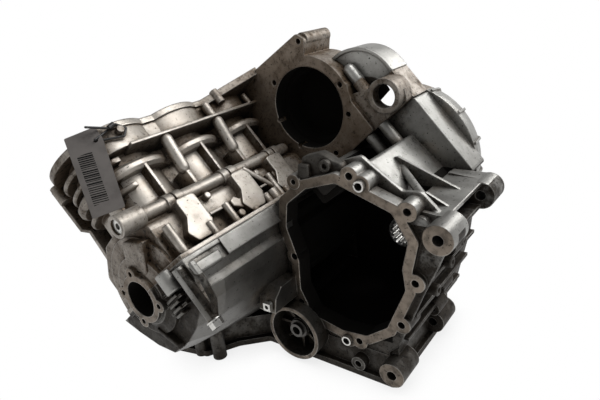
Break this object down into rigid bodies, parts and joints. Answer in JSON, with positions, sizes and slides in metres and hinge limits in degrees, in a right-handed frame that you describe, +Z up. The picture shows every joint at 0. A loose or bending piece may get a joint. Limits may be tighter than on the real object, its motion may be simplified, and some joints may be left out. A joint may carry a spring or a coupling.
{
  "type": "engine crankcase",
  "caption": "Bare cast engine crankcase split on a tilted plane, with a cylinder block, a large bolted bore, a gearbox opening, mount bosses, an oil filter seat and a ribbed bell.",
  "frame": {"origin": "centre of the crankshaft bore on the bearing end face", "axes": "+X along the crankshaft into the case, +Y to the side away from the gearbox, +Z up"},
  "size_m": [0.386, 0.4634, 0.3806],
  "materials": {
    "block_casting": "rough cast",
    "case_casting": "rough cast",
    "bright_steel": "machined",
    "dark_steel": "oiled",
    "tag_sheet": "matt",
    "tie_plastic": "matt"
  },
  "bodies": {
    "root": {"upper_crankcase": "block_casting", "lower_crankcase": "case_casting", "arch_cover": "case_casting", "opening_dowels": "bright_steel", "gallery_plug": "bright_steel", "side_plug": "bright_steel", "case_bolt": "bright_steel", "filter_spigot": "dark_steel", "needle_bearing": "bright_steel", "hang_tag": "tag_sheet", "tag_tie": "tie_plastic"}
  },
  "joints": []
}
